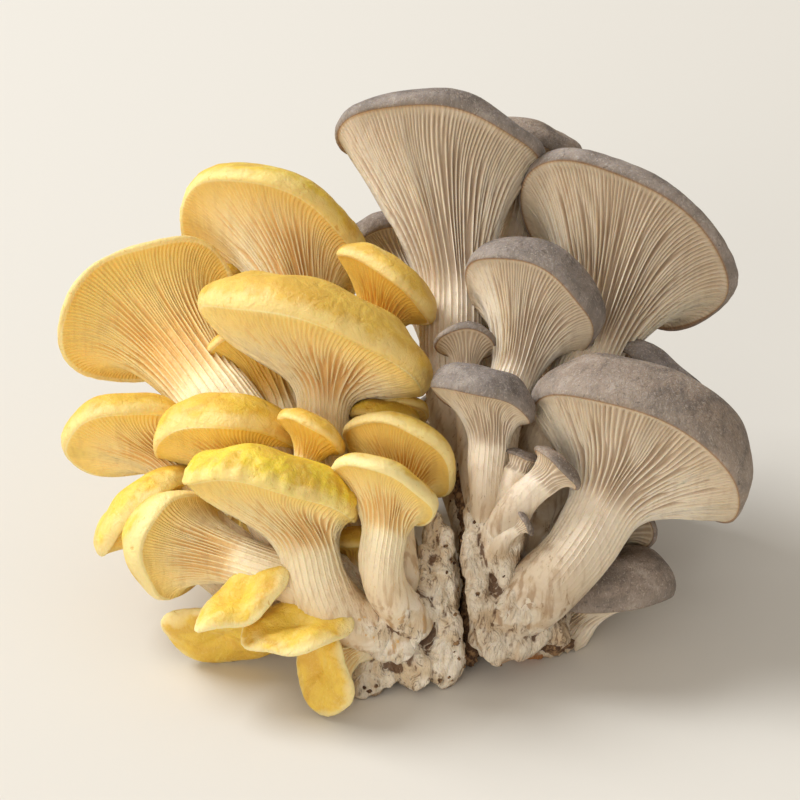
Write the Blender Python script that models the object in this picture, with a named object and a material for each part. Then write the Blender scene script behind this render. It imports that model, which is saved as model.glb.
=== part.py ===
"""An oyster mushroom cluster: a golden bunch and a grey bunch that share one cut base.

Run it with blender --background --python part.py, or from Blender's text editor.
Every mushroom is a loft of closed rings: foot, stem, gilled underside, rolled margin and top.
The mushrooms of a bunch grow out of its butt, and one union makes each bunch a single solid.

The bunches are laid out in the fan frame, in millimetres: across (to the right), up (along the
fan) and out (towards the viewer). The fan leans back by FAN_LEAN from upright. The part's own
origin is the middle of the flat cut spot under the golden butt, which the cluster stands on.
"""

import math
import random
from dataclasses import dataclass

import bmesh
import bpy
import numpy as np
from mathutils import Vector, noise

MM = 0.001
FAN_LEAN = math.radians(30)
FAN_LIFT = 4.5  # height of the fan frame's origin over the surface it stands on
FLAT_SPOT = (-15, 16)  # middle of the butt's flat spot, across and back from the fan frame's origin

# Gill relief, as a share of the rim's half width
GILL_DEPTH = 0.075
GILL_START = 0.12
GILL_END = 0.94

# Rows along one mushroom, from the foot to the crown
STEM_STEPS = (0.0, 0.5, 1.0)
UNDER_STEPS = (0.36, 0.85)
TOP_STEPS = (0.0, 0.2, 0.5)


@dataclass(frozen=True)
class Mushroom:
    """One fruiting body. Points are (across, up, out) in the fan frame, in millimetres."""

    foot: tuple
    neck: tuple
    rim: tuple  # the middle of the rim
    turn: float  # degrees that the cap's top leans to the right, seen from the front
    away: float  # degrees that the cap's top tips away from the viewer
    wide: float  # half width of the rim
    deep: float  # half depth of the rim
    crown: float  # height of the top over the rim
    thick: tuple  # stem radius at the foot and at the neck
    gills: int
    wave: float = 0.04  # waviness of the rim, as a share of its radius
    navel: float = 0.7  # height of the crown's middle, as a share of the crown
    curl: float = -0.12  # how far the margin turns down, as a share of the gills' length
    droop: float = 0.0  # drop of the rim's two sides, in millimetres
    flare: float = 0.36  # how late the underside opens out: the less, the more it is a plain cone


GOLDEN = {
    "top": Mushroom(
        (-16, 16, -14), (-43, 90, -26), (-54, 117.5, -38),
        25, 38, 28, 25, 16, (7, 7.5), 16, curl=-0.02, flare=0.26
    ),
    "left_fan": Mushroom(
        (-18, 14, -8), (-66, 71, -13), (-88, 98, -30),
        -34, 55, 26, 21, 3.5, (8, 11), 16, curl=-0.04, flare=0.3
    ),
    "middle": Mushroom(
        (-15, 14, -4), (-37, 69, -2), (-40.3, 87, 0),
        20, 12, 32.5, 26, 17, (8, 7.5), 18, wave=0.025, curl=-0.26, droop=1.5, flare=0.3
    ),
    "upper_right": Mushroom((-12, 18, -10), (-23, 91, -13), (-20.5, 104, -12), 38, 15, 14, 11, 9, (4, 4), 9),
    "left_shelf": Mushroom(
        (-18, 10, -6), (-77, 49, -6), (-92, 59.5, -16), -5, 32, 18.5, 17, 12.5, (6, 5), 12
    ),
    "centre_left": Mushroom((-18, 10, 2), (-56, 48, 2), (-64, 58, -2), 2, 25, 20.5, 16, 15.5, (6, 6), 13),
    "between": Mushroom((-16, 14, -8), (-48, 68, -14), (-56, 85, -20), -15, 35, 14, 13, 6, (6, 6), 9),
    "inner_right": Mushroom((-12, 16, -8), (-17, 57, -6), (-16, 69, -7), 10, 25, 8, 7, 5, (5, 4.5), 7),
    "bud_left": Mushroom((-18, 16, -10), (-56, 62, -16), (-60, 70, -18), 10, 5, 8, 8, 6, (3.5, 3), 7),
    "centre": Mushroom((-16, 14, 4), (-42, 54, 12), (-40.5, 62.5, 12), 30, 15, 10, 9, 6, (4, 3.5), 8),
    "lower_left": Mushroom((-18, 8, -6), (-76, 31, -6), (-86, 40, -6), -40, 6, 16.5, 14, 10, (5, 5), 11),
    "left_cup": Mushroom(
        (-18, 8, 4), (-56, 27, 14), (-75.5, 32.5, 10), -72, 38, 15, 15, 15, (7, 7), 14, flare=0.28
    ),
    "front": Mushroom(
        (-14, 6, 8), (-40, 29, 20), (-51, 45, 22), 13, 10, 23.5, 18, 14, (7, 8.5), 16, curl=-0.24, flare=0.3
    ),
    "front_right": Mushroom(
        (-11.5, 11, 9), (-20, 34, 26), (-20.5, 46.5, 26), 22, 28, 14.5, 13, 8, (6, 6.2), 13
    ),
    "right": Mushroom((-8, 12, 2), (-16, 45, 9), (-15.4, 56, 9), 28, 32, 16, 15, 9, (5.5, 5.5), 13),
    "bud_right": Mushroom((-8, 18, -4), (-19, 60, -4), (-20, 67, -4), 5, 5, 9, 8, 6, (3.5, 3), 7),
    "twisted": Mushroom(
        (-18, 10, 6), (-46, 22, 15), (-58.5, 18, 22), -32, -40, 13, 8.5, 4, (4, 4), 9, 0.09, 0.1
    ),
    "low_left": Mushroom(
        (-18, 8, -2), (-54, 13, -6), (-64.5, 8, 1), -172, -40, 16.5, 11, 4.5, (5, 5), 10, 0.05, 0.2
    ),
    "spoon": Mushroom(
        (-12, 6, 8), (-32, 13, 16), (-43.5, 10.5, 23), -14, -46, 14.5, 9.5, 4, (5, 5), 10, 0.08, 0.1
    ),
    "low_front": Mushroom(
        (-16, 6, 6), (-28, 4, 13), (-36, -1.5, 19), -105, -50, 11.5, 9, 4, (4.5, 4.5), 9, 0.07, 0.2
    ),
    "inner": Mushroom((-15, 8, 2), (-28, 27, 4), (-30, 33, 6), 0, -8, 8, 7, 5, (4, 3.5), 7),
    "far_left": Mushroom((-18, 16, -16), (-64, 98, -42), (-71, 107, -46), -10, 10, 9, 9, 5, (4, 3.5), 7),
    "back_left": Mushroom((-18, 12, -14), (-58, 44, -42), (-72, 50, -56), -62, 60, 19, 17, 7, (6, 6), 9),
    "back": Mushroom((-14, 14, -18), (-30, 50, -52), (-34, 62, -68), -8, 62, 20, 18, 8, (7, 6), 9),
    "back_low": Mushroom((-14, 10, -16), (-40, 30, -46), (-48, 34, -56), -70, 70, 15, 14, 6, (5, 5), 8),
}

GREY = {
    "top": Mushroom(
        (12, 28, -8), (0, 96, -24), (-4, 144.5, -36),
        11, 26, 29.5, 23, 11, (9, 10), 18, curl=-0.3, droop=1.5, flare=0.2
    ),
    "upper_right": Mushroom(
        (15, 24, -8), (36, 80, -14), (48.5, 117.5, -30),
        35, 42, 33, 25, 13, (8, 9.5), 18, wave=0.03, flare=0.27
    ),
    "middle": Mushroom(
        (12, 26, 0), (15, 76, 2), (20.3, 98.5, -6), 32, 38, 20.5, 17, 18, (6, 6.5), 16, flare=0.28
    ),
    "right": Mushroom(
        (11, 10, 0), (39, 39, 12), (50.8, 57.5, 8),
        28, 20, 32.5, 26, 23, (8.5, 10), 18, wave=0.03, curl=-0.22, droop=2.5, flare=0.3
    ),
    "bud": Mushroom((10, 28, -4), (3, 78, -2), (3, 88, -2), 5, 38, 8, 7, 5, (3.5, 3), 8),
    "front": Mushroom((11, 30, 2), (9, 58, 12), (6.8, 71, 14), 19, 15, 14, 11.5, 11, (4.5, 5.5), 12),
    "brown_bud": Mushroom((12, 32, 6), (22, 49, 20), (27.5, 53.5, 22), 44, 6, 7.5, 6, 4, (6, 4.5), 8),
    "bent_bud": Mushroom((10, 34, 4), (16.5, 52, 13), (18.5, 56.5, 13), 20, 5, 4.5, 4, 2.5, (5, 4), 6),
    "tiny": Mushroom((12, 28, 8), (16, 37, 18), (18.5, 39, 20), 60, 0, 3.6, 3.2, 2, (4.5, 2), 6),
    "low_right": Mushroom((17, 9, -6), (34, 9, -14), (44, 17.3, -10), -2, -20, 17, 11, 15, (7, 6), 12),
    "right_fold": Mushroom((14, 16, -6), (43, 34, -14), (51, 38, -14), 80, 30, 8, 8, 3, (4.5, 4), 7, 0.08),
    "right_back": Mushroom((16, 22, -12), (48, 63, -22), (59, 75.5, -22), 42, 5, 19, 13, 9, (6, 5.5), 12),
    "far_top": Mushroom((12, 28, -14), (19, 124, -50), (23.5, 145.5, -58), 20, 15, 14, 11, 9, (5, 4.5), 9),
    "far_left": Mushroom(
        (10, 28, -16), (-11, 104, -50), (-20, 119.5, -60), -20, 15, 12.5, 11, 8, (5, 4.5), 9
    ),
    "back_right": Mushroom((16, 18, -12), (33, 56, -50), (40, 69, -66), 40, 58, 21, 19, 8, (8, 7), 9),
    "back": Mushroom((12, 16, -16), (9, 50, -58), (9, 60, -76), 0, 68, 22, 19, 8, (8, 7), 10),
    "back_low": Mushroom((18, 10, -8), (38, 30, -42), (44, 34, -56), 70, 62, 15, 14, 6, (6, 5), 8),
}

# Lumps of each butt: middle in the fan frame and half sizes, in millimetres
GOLDEN_BUTT = (
    ((-13, 2, 4), (5.5, 9, 7)),
    ((-23, 0, 6), (4.5, 9.5, 6)),
    ((-3.2, 2, 3), (6, 9, 8)),
    ((-4.6, 20, 4), (6, 14, 8)),
    ((-15, 10, -12), (15, 17, 18)),
)
GREY_BUTT = (
    ((8.2, 34, 6), (6, 13, 8)),
    ((8.8, 15, 4), (5.6, 12, 9)),
    ((12.5, 7.5, 3), (8.5, 7.5, 9)),
    ((26, 8, -3), (7, 5, 8)),
    ((21, 16, -14), (14, 17, 18)),
)
BUTT_ROUGHNESS = 0.14
BUTT_NOISE = 0.13  # bumps per millimetre
SMALLEST_LUMP = 1e-9  # cubic metres: the union leaves nothing smaller, other than slivers
TABLE = 400  # side of the block that cuts the flat spots, in millimetres

COLOURS = {
    "golden_bunch": ((0.86, 0.66, 0.20, 1), 0.5),
    "grey_bunch": ((0.56, 0.50, 0.45, 1), 0.75),
}


def unit(v):
    return v / np.linalg.norm(v, axis=-1, keepdims=True)


def smooth_step(x):
    x = np.clip(x, 0, 1)
    return x * x * (3 - 2 * x)


def bezier(a, b, c, d, t):
    """Points of a cubic at t. The four corners broadcast against t's trailing axis."""
    t = np.asarray(t)[..., None]
    return (1 - t) ** 3 * a + 3 * t * (1 - t) ** 2 * b + 3 * t * t * (1 - t) * c + t**3 * d


def cap_axes(m):
    """(left, near, up): the rim's two half axes and the way the cap's top faces."""
    turn, away = math.radians(m.turn), math.radians(m.away)
    up = np.array([math.sin(turn) * math.cos(away), math.cos(turn) * math.cos(away), -math.sin(away)])
    left = unit(np.cross((0, 0, 1), up))
    return left, np.cross(up, left), up


def neck_way(m):
    """The way the stem points where the gills begin: between the cap's axis and the way to the rim."""
    up = cap_axes(m)[2]
    return unit(unit(np.subtract(m.rim, m.neck)) + up)


def ring_axes(m, way):
    """Two axes square to way that follow the cap's own, so that columns don't twist."""
    left = cap_axes(m)[0]
    first = unit(left - np.sum(left * way, axis=-1, keepdims=True) * way)
    return first, np.cross(way, first)


def rim_points(m, name, angles):
    """The rim, where the gills end: an ellipse with seeded waves and drooping sides."""
    left, near, up = cap_axes(m)
    draw = random.Random(name)
    radius, lift = np.ones_like(angles), np.zeros_like(angles)
    for lobes in (2, 3, 5):
        phase = draw.uniform(0, 2 * math.pi)
        radius = radius + m.wave * np.cos(lobes * angles + phase) / math.sqrt(lobes)
        lift = lift + m.wave * m.wide * 0.9 * np.cos(lobes * angles + 2 * phase) / math.sqrt(lobes)
    lift = lift - m.droop * np.cos(2 * angles)
    flat = m.wide * np.cos(angles)[:, None] * left + m.deep * np.sin(angles)[:, None] * near
    return np.array(m.rim) + flat * radius[:, None] + up * lift[:, None]


def stem_rows(m, steps, angles):
    """Rings round the stem's own line, from the foot to the neck."""
    foot, neck, way = np.array(m.foot, float), np.array(m.neck, float), neck_way(m)
    reach = np.linalg.norm(neck - foot)
    pull = neck - way * reach * 0.42
    steps = np.asarray(steps, float)
    middle = bezier(foot, foot + (pull - foot) * 0.5, pull, neck, steps)
    ahead = bezier(foot, foot + (pull - foot) * 0.5, pull, neck, steps + 0.01)
    first, second = ring_axes(m, unit(ahead - middle))
    radius = m.thick[0] + (m.thick[1] - m.thick[0]) * smooth_step(steps)
    ring = np.cos(angles)[:, None] * first[:, None] + np.sin(angles)[:, None] * second[:, None]
    return middle[:, None] + ring * radius[:, None, None]


def under_rows(m, name, steps, angles):
    """The underside: trumpet curves from the neck to the rim, whose margin turns down."""
    up = cap_axes(m)[2]
    start, rim = stem_rows(m, [1.0], angles)[0], rim_points(m, name, angles)
    reach = np.linalg.norm(rim - start, axis=1, keepdims=True)
    outward = unit(rim - np.array(m.rim))
    leave = start + neck_way(m) * reach * 0.34
    arrive = rim + up * reach * m.curl - outward * reach * m.flare
    return bezier(start, leave, arrive, rim, np.asarray(steps)[:, None])


def top_rows(m, name, steps, angles):
    """From the rim round the rolled margin and over the crown. 0 is just past the rim, 1 the navel."""
    up = cap_axes(m)[2]
    rim, middle = rim_points(m, name, angles), np.array(m.rim)
    outward = unit(rim - middle)
    roll = 0.03 * m.wide + 0.6
    edge = rim + outward * roll + up * 0.2 * m.crown
    shoulder = rim + outward * roll * 0.3 + up * 0.72 * m.crown
    brow = middle + (rim - middle) * 0.55 + up * 1.2 * m.crown
    navel = middle + up * m.navel * m.crown
    return bezier(edge, shoulder, brow, navel, np.asarray(steps)[:, None])


def carve_gills(m, name, steps, angles, grooved):
    """Underside rows whose grooved columns are sunk into the flesh."""
    rows = under_rows(m, name, steps, angles)
    ahead = under_rows(m, name, np.asarray(steps) + 0.02, angles)
    beside = under_rows(m, name, steps, angles + 0.02)
    outside = unit(np.cross(beside - rows, ahead - rows))
    steps = np.asarray(steps)
    fade = smooth_step(steps / GILL_START) * smooth_step((1 - steps) / (1 - GILL_END))
    depth = GILL_DEPTH * m.wide * fade[:, None] * grooved[None, :]
    return rows - outside * depth[..., None]


def to_world(points):
    """Fan frame in millimetres to the part's frame in metres."""
    across, up, out = np.moveaxis(np.asarray(points, float), -1, 0)
    lean, rise = math.sin(FAN_LEAN), math.cos(FAN_LEAN)
    x = across - FLAT_SPOT[0]
    y = up * lean - out * rise - FLAT_SPOT[1]
    z = up * rise + out * lean + FAN_LIFT
    return np.stack([x, y, z], axis=-1) * MM


def bridge(faces, low, high):
    """Joins two rings of vertex indices, alike in count or with one having twice the other's."""
    few, many = sorted((low, high), key=len)
    n, ratio = len(few), len(many) // len(few)
    for i in range(n):
        j = (i + 1) % n
        if ratio == 1:
            faces.append((low[i], low[j], high[j], high[i]))
            continue
        a, b, c = many[2 * i], many[2 * i + 1], many[(2 * i + 2) % len(many)]
        fans = [(few[i], b, a), (few[i], few[j], b), (few[j], c, b)]
        faces.extend(fans if few is low else [f[::-1] for f in fans])


def loft(name, rings, foot, crown):
    """A closed mesh through the rings, with a fan at each end. Rings run up from the foot."""
    points, rows = [foot], []
    for ring in rings:
        rows.append(list(range(len(points), len(points) + len(ring))))
        points.extend(ring)
    points.append(crown)
    faces = [(0, rows[0][(i + 1) % len(rows[0])], v) for i, v in enumerate(rows[0])]
    for low, high in zip(rows, rows[1:]):
        bridge(faces, low, high)
    last = len(points) - 1
    faces += [(last, v, rows[-1][(i + 1) % len(rows[-1])]) for i, v in enumerate(rows[-1])]
    mesh = bpy.data.meshes.new(name)
    mesh.from_pydata([tuple(p) for p in to_world(points)], [], faces)
    return mesh


def mushroom_mesh(m, name):
    """One mushroom with real gills. Gilled rows have two columns a gill, and the others one."""
    coarse = np.arange(m.gills) * 2 * math.pi / m.gills
    fine = np.arange(2 * m.gills) * math.pi / m.gills
    grooved = np.arange(2 * m.gills) % 2
    rings = [
        *stem_rows(m, STEM_STEPS, coarse),
        *carve_gills(m, name, UNDER_STEPS, fine, grooved),
        *under_rows(m, name, [1.0], fine),
        *top_rows(m, name, TOP_STEPS, coarse),
    ]
    up = cap_axes(m)[2]
    navel = np.array(m.rim) + up * m.navel * m.crown
    return loft(name, rings, m.foot, navel)


def butt_mesh(name, middle, half):
    """A rough lump of the cut butt: a ball, drawn out to its half sizes and bumped by noise."""
    bm = bmesh.new()
    bmesh.ops.create_icosphere(bm, subdivisions=2, radius=1)
    for v in bm.verts:
        place = Vector(middle) + Vector(v.co[i] * half[i] for i in range(3))
        bump = 1 + BUTT_ROUGHNESS * (noise.noise(place * BUTT_NOISE) - 0.3)
        v.co = to_world(np.array(middle) + np.array([v.co[i] * half[i] * bump for i in range(3)]))
    mesh = bpy.data.meshes.new(name)
    bm.to_mesh(mesh)
    bm.free()
    return mesh


def new_object(name, mesh, collection):
    obj = bpy.data.objects.new(name, mesh)
    collection.objects.link(obj)
    return obj


def new_collection(name):
    collection = bpy.data.collections.new(name)
    bpy.context.scene.collection.children.link(collection)
    return collection


def boolean(obj, operation, cutter=None, collection=None):
    """The exact solver leaves edges here where the flesh touches itself, and the manifold one doesn't."""
    modifier = obj.modifiers.new(operation.lower(), "BOOLEAN")
    modifier.operation, modifier.solver = operation, "MANIFOLD"
    if collection:
        modifier.operand_type, modifier.collection = "COLLECTION", collection
    else:
        modifier.object = cutter


def apply_modifiers(obj):
    graph = bpy.context.evaluated_depsgraph_get()
    obj.data = bpy.data.meshes.new_from_object(obj.evaluated_get(graph))
    obj.modifiers.clear()


def islands(bm):
    """Sets of faces that hang together."""
    left = set(bm.faces)
    while left:
        found, edge = set(), [next(iter(left))]
        while edge:
            face = edge.pop()
            if face in found:
                continue
            found.add(face)
            edge.extend(f for e in face.edges for f in e.link_faces if f not in found)
        left -= found
        yield found


def enclosed(faces):
    """Signed volume in cubic metres inside the faces: below zero for a pocket sealed in the flesh."""
    total = 0
    for face in faces:
        a, b, c = (v.co for v in face.verts[:3])
        total += a.dot(b.cross(c)) / 6
    return total


def fill_pockets(obj):
    """Fills the pockets that the union leaves between the stems deep in the butt."""
    bm = bmesh.new()
    bm.from_mesh(obj.data)
    bmesh.ops.triangulate(bm, faces=bm.faces)
    pockets = [f for shell in islands(bm) if enclosed(shell) < SMALLEST_LUMP for f in shell]
    bmesh.ops.delete(bm, geom=pockets, context="FACES")
    bm.to_mesh(obj.data)
    bm.free()


def table_block(collection):
    """Everything below the surface that the cluster stands on."""
    bm = bmesh.new()
    bmesh.ops.create_cube(bm, size=TABLE * MM)
    bmesh.ops.translate(bm, verts=bm.verts, vec=(0, 0, -TABLE * MM / 2))
    mesh = bpy.data.meshes.new("table_block")
    bm.to_mesh(mesh)
    bm.free()
    block = new_object("table_block", mesh, collection)
    block.hide_render, block.display_type = True, "WIRE"
    return block


def material(name):
    colour, roughness = COLOURS[name]
    made = bpy.data.materials.new(name)
    made.use_nodes = True
    shader = made.node_tree.nodes["Principled BSDF"]
    shader.inputs["Base Color"].default_value = colour
    shader.inputs["Roughness"].default_value = roughness
    shader.inputs["Metallic"].default_value = 0
    return made


def bunch(name, mushrooms, butt, parts, block):
    """A bunch: its butt's lumps and all its mushrooms in one union, cut flat where it meets the table."""
    growing = new_collection(name + "_growing")
    whole = new_object(name, butt_mesh(name, *butt[-1]), parts)
    for i, lump in enumerate(butt[:-1]):
        new_object(f"{name}_lump_{i}", butt_mesh(f"{name}_lump_{i}", *lump), growing)
    for key, m in mushrooms.items():
        label = f"{name}_{key}"
        new_object(label, mushroom_mesh(m, label), growing)
    boolean(whole, "UNION", collection=growing)
    apply_modifiers(whole)
    fill_pockets(whole)
    for obj in list(growing.objects):
        bpy.data.objects.remove(obj)
    bpy.data.collections.remove(growing)
    boolean(whole, "DIFFERENCE", cutter=block)
    apply_modifiers(whole)
    fill_pockets(whole)
    whole.data.materials.clear()
    whole.data.materials.append(material(name))
    return whole


def clear_scene():
    for obj in list(bpy.data.objects):
        bpy.data.objects.remove(obj)


def main():
    clear_scene()
    parts = new_collection("oyster_mushroom_cluster")
    block = table_block(new_collection("cutters"))
    bunch("golden_bunch", GOLDEN, GOLDEN_BUTT, parts, block)
    bunch("grey_bunch", GREY, GREY_BUTT, parts, block)


main()
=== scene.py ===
"""The looks of an oyster mushroom cluster: a golden bunch and a grey bunch on a pale studio floor.

The mushrooms have the part's own sizes and places, in the fan frame: across (to the right), up
(along the fan) and out (towards the viewer), in millimetres. Here each one gets its full and
short gills, a rounded margin, a puckered top and streaks, and each butt is one rough skin.
"""

import math
import random
from dataclasses import dataclass

import bmesh
import bpy
import numpy as np
from mathutils import Matrix, Vector, noise


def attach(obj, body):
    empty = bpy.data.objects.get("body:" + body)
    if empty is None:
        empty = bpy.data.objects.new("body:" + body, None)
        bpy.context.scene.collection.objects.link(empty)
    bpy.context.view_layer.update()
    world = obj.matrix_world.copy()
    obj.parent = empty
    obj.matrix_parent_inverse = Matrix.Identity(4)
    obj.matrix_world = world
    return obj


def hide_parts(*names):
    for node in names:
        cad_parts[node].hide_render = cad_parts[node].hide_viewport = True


MM = 0.001
FAN_LEAN = math.radians(30)
FAN_LIFT = 4.5  # height of the fan frame's origin over the surface it stands on
FLAT_SPOT = (-15, 16)  # middle of the butt's flat spot, across and back from the fan frame's origin

# The photograph: its size, the pixel of the fan frame's origin, and what a pixel spans there
PHOTO_PIXELS = 800
ORIGIN_PIXEL = (455, 660)
PIXEL_MM = 0.28
CAMERA_AWAY = 1050  # millimetres from the fan's plane
SENSOR_MM = 36

# Gills: short ones stand between the whole ones, and start part of the way out
GILLS_PER_CAD_GILL = 2
GILL_HALF_WIDTH = 0.1  # of a gill, as a share of the way between two whole ones
GOLDEN_GILLS_FADE = 0.5  # share of their depth that the golden gills lose towards the rim
GILL_DEPTH = 0.07  # share of the rim's half width
GILLS_DOWN_STEM = 0.55  # where on the stem the gills' low ridges end
RIDGE_DEPTH = (0.32, 0.12)  # those ridges on a large and a small mushroom, as shares of the gills' depth
LARGE_CAP = 12  # a rim's half width in millimetres, from which a mushroom gets the finest mesh

# Fineness of the mesh, for a large mushroom and a small one
COLUMNS_PER_GILL = (16, 12)
UNDER_ROWS = (20, 14)
TOP_ROWS = (18, 11)
BUTT_VOXEL = 0.0008
LOWEST = 0.0001  # metres over the floor, under which nothing reaches

# The feet of the stems in a butt's skin: how far up they go, and their swelling at both ends
SLEEVE_SIDES = 16
SLEEVE_RINGS = 7
SLEEVE_END = 0.5
SLEEVE_SWELL = (1.12, 0.86)

# Crumbs on the butts, in metres: the crevice that they gather in, and the height of the cut face
CREVICE_ACROSS = 0.019
CREVICE_HALF_WIDTH = 0.01
CUT_FACE_HEIGHT = 0.006
CRUMBS = 45
CRUMB_HALF_SIZES = (0.2, 0.75)  # millimetres

# The studio, in metres. Each light: its place, where it aims, its size, its watts and its colour
FLOOR_RGB = (223, 219, 211)
FLOOR_REACH = 6
KEY_LIGHT = ((-2.1, 0.8, 2.4), (0, 0.03, 0.05), 1.5, 97, (0.96, 0.98, 1.0))
FILL_LIGHT = ((-1.5, -3.0, 1.1), (0, 0.03, 0.05), 2.0, 40, (1.0, 0.95, 0.88))
WORLD_COLOUR = (1.0, 0.94, 0.86, 1)
WORLD_STRENGTH = 0.48


@dataclass(frozen=True)
class Mushroom:
    """One fruiting body. Points are (across, up, out) in the fan frame, in millimetres."""

    foot: tuple
    neck: tuple
    rim: tuple  # the middle of the rim
    turn: float  # degrees that the cap's top leans to the right, seen from the front
    away: float  # degrees that the cap's top tips away from the viewer
    wide: float  # half width of the rim
    deep: float  # half depth of the rim
    crown: float  # height of the top over the rim
    thick: tuple  # stem radius at the foot and at the neck
    gills: int
    wave: float = 0.04  # waviness of the rim, as a share of its radius
    navel: float = 0.7  # height of the crown's middle, as a share of the crown
    curl: float = -0.12  # how far the margin turns down, as a share of the gills' length
    droop: float = 0.0  # drop of the rim's two sides, in millimetres
    flare: float = 0.36  # how late the underside opens out: the less, the more it is a plain cone


GOLDEN = {
    "top": Mushroom(
        (-16, 16, -14), (-43, 90, -26), (-54, 117.5, -38),
        25, 38, 28, 25, 16, (7, 7.5), 16, curl=-0.02, flare=0.26
    ),
    "left_fan": Mushroom(
        (-18, 14, -8), (-66, 71, -13), (-88, 98, -30),
        -34, 55, 26, 21, 3.5, (8, 11), 16, curl=-0.04, flare=0.3
    ),
    "middle": Mushroom(
        (-15, 14, -4), (-37, 69, -2), (-40.3, 87, 0),
        20, 12, 32.5, 26, 17, (8, 7.5), 18, wave=0.025, curl=-0.26, droop=1.5, flare=0.3
    ),
    "upper_right": Mushroom(
        (-12, 18, -10), (-23, 91, -13), (-20.5, 104, -12), 38, 15, 15.5, 12, 9.5, (6.5, 6), 10
    ),
    "left_shelf": Mushroom(
        (-18, 10, -6), (-77, 49, -6), (-92, 59.5, -16), -5, 32, 18.5, 17, 12.5, (6, 5), 12
    ),
    "centre_left": Mushroom((-18, 10, 2), (-56, 48, 2), (-64, 58, -2), 2, 25, 20.5, 16, 15.5, (6, 6), 13),
    "between": Mushroom((-16, 14, -8), (-48, 68, -14), (-56, 85, -20), -15, 35, 14, 13, 6, (6, 6), 9),
    "inner_right": Mushroom((-12, 16, -8), (-17, 57, -6), (-16, 69, -7), 10, 25, 8, 7, 5, (5, 4.5), 7),
    "bud_left": Mushroom((-18, 16, -10), (-56, 62, -16), (-60, 70, -18), 10, 5, 8, 8, 6, (3.5, 3), 7),
    "centre": Mushroom((-16, 14, 4), (-42, 54, 12), (-40.5, 62.5, 12), 30, 15, 10, 9, 6, (4, 3.5), 8),
    "lower_left": Mushroom((-18, 8, -6), (-76, 31, -6), (-86, 40, -6), -40, 6, 16.5, 14, 10, (5, 5), 11),
    "left_cup": Mushroom(
        (-18, 8, 4), (-56, 27, 14), (-75.5, 32.5, 10), -72, 38, 15, 15, 15, (7, 7), 14, flare=0.28
    ),
    "front": Mushroom(
        (-14, 6, 8), (-40, 29, 20), (-51, 45, 22), 13, 10, 23.5, 18, 14, (7, 8.5), 16, curl=-0.24, flare=0.3
    ),
    "front_right": Mushroom(
        (-11.5, 11, 9), (-20, 34, 26), (-20.5, 46.5, 26), 22, 28, 14.5, 13, 8, (6, 6.2), 13
    ),
    "right": Mushroom((-8, 12, 2), (-16, 45, 9), (-15.4, 56, 9), 28, 32, 16, 15, 9, (5.5, 5.5), 13),
    "bud_right": Mushroom((-8, 18, -4), (-19, 60, -4), (-20, 67, -4), 5, 5, 9, 8, 6, (3.5, 3), 7),
    "twisted": Mushroom(
        (-18, 10, 6), (-46, 22, 15), (-58.5, 18, 22), -32, -40, 13, 8.5, 4, (4, 4), 9, 0.09, 0.1
    ),
    "low_left": Mushroom(
        (-18, 8, -2), (-54, 13, -6), (-64.5, 8, 1), -172, -40, 16.5, 11, 4.5, (5, 5), 10, 0.05, 0.2
    ),
    "spoon": Mushroom(
        (-12, 6, 8), (-32, 13, 16), (-43.5, 10.5, 23), -14, -46, 14.5, 9.5, 4, (5, 5), 10, 0.08, 0.1
    ),
    "low_front": Mushroom(
        (-16, 6, 6), (-28, 4, 13), (-36, -1.5, 19), -105, -50, 11.5, 9, 4, (4.5, 4.5), 9, 0.07, 0.2
    ),
    "inner": Mushroom((-15, 8, 2), (-28, 27, 4), (-30, 33, 6), 0, -8, 8, 7, 5, (4, 3.5), 7),
    "far_left": Mushroom((-18, 16, -16), (-64, 98, -42), (-71, 107, -46), -10, 10, 9, 9, 5, (4, 3.5), 7),
    "back_left": Mushroom((-18, 12, -14), (-58, 44, -42), (-72, 50, -56), -62, 60, 19, 17, 7, (6, 6), 9),
    "back": Mushroom((-14, 14, -18), (-30, 50, -52), (-34, 62, -68), -8, 62, 20, 18, 8, (7, 6), 9),
    "back_low": Mushroom((-14, 10, -16), (-40, 30, -46), (-48, 34, -56), -70, 70, 15, 14, 6, (5, 5), 8),
}

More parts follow.
